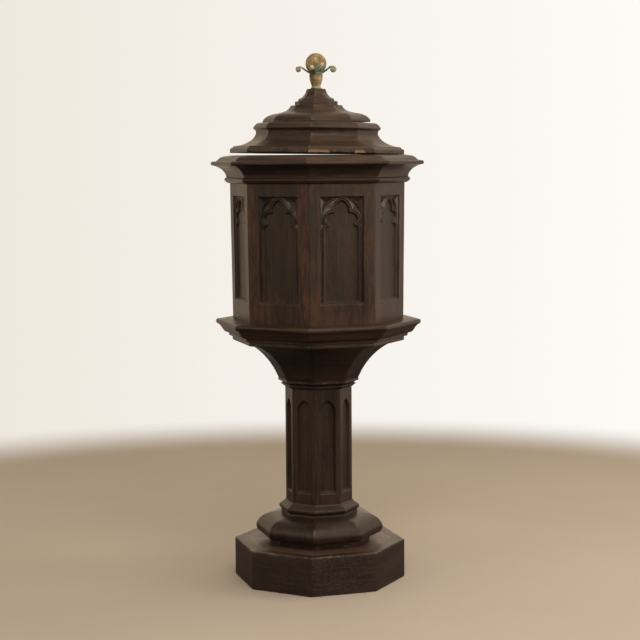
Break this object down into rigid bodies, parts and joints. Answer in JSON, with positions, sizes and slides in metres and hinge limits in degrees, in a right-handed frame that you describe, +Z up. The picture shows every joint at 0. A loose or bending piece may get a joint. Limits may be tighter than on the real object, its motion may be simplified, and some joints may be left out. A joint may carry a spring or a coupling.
{
  "type": "baptismal font",
  "caption": "Octagonal wooden pedestal font with carved tracery drum, coved corbel, panelled column, lift-out metal basin and a stepped lift-off lid with a brass finial.",
  "frame": {"origin": "centre of the base's underside, on the floor", "axes": "+Z up along the font's axis; the flats of the octagon face +X, -X, +Y, -Y and the diagonals between them"},
  "size_m": [0.418, 0.418, 1.1169],
  "materials": {
    "oak_dark": "very dark stained and waxed oak, satin, worn lighter on the arrises",
    "oak_inside": "unfinished oak",
    "brass_aged": "aged dull brass with verdigris in the hollows",
    "basin_brass": "spun, softly tarnished",
    "steel_fixings": "dull, slightly oxidised"
  },
  "bodies": {
    "stand": {"base_sides": "oak_dark", "base_top_ring": "oak_dark", "base_top_board": "oak_inside", "base_corner_blocks": "oak_inside", "base_screws": "steel_fixings", "plinth_ring": "oak_dark", "torus_ring": "oak_dark", "column_collar": "oak_dark", "column_stave_1": "oak_dark", "column_stave_2": "oak_dark", "column_stave_3": "oak_dark", "column_stave_4": "oak_dark", "column_stave_5": "oak_dark", "column_stave_6": "oak_dark", "column_stave_7": "oak_dark", "column_stave_8": "oak_dark", "column_plug_bottom": "oak_inside", "column_plug_top": "oak_inside", "column_head_board": "oak_inside", "head_screws": "steel_fixings", "necking_moulding": "oak_dark", "corbel_segments": "oak_dark", "shelf_under_board": "oak_dark", "shelf_spacer_blocks": "oak_inside", "shelf_moulding": "oak_dark", "shelf_frame": "oak_dark", "drum_floor": "oak_inside", "shelf_screws": "steel_fixings", "drum_panel_1": "oak_dark", "drum_panel_2": "oak_dark", "drum_panel_3": "oak_dark", "drum_panel_4": "oak_dark", "drum_panel_5": "oak_dark", "drum_panel_6": "oak_dark", "drum_panel_7": "oak_dark", "drum_panel_8": "oak_dark", "drum_floor_blocks": "oak_inside", "drum_rim_blocks": "oak_inside", "cornice_bead": "oak_dark", "cornice_cove": "oak_dark", "rim_nose_frame": "oak_dark", "rim_top_frame": "oak_dark"},
    "basin": {"basin": "basin_brass"},
    "lid": {"lid_base_frame": "oak_dark", "lid_ogee_ring": "oak_dark", "lid_nose_ring": "oak_dark", "lid_inner_board": "oak_inside", "lid_dome_segments": "oak_dark", "lid_step": "oak_dark", "lid_cap": "oak_dark", "finial_neck": "brass_aged", "finial_leaf_crown": "brass_aged", "finial_ball": "brass_aged", "finial_stud": "steel_fixings", "finial_washer": "steel_fixings", "finial_nut": "steel_fixings"}
  },
  "joints": [
    {"name": "basin_lift", "type": "slide", "parent": "stand", "child": "basin", "axis": [0, 0, 1], "range_m": [0, 0.18]},
    {"name": "lid_lift", "type": "slide", "parent": "basin", "child": "lid", "axis": [0, 0, 1], "range_m": [0, 0.3]}
  ]
}
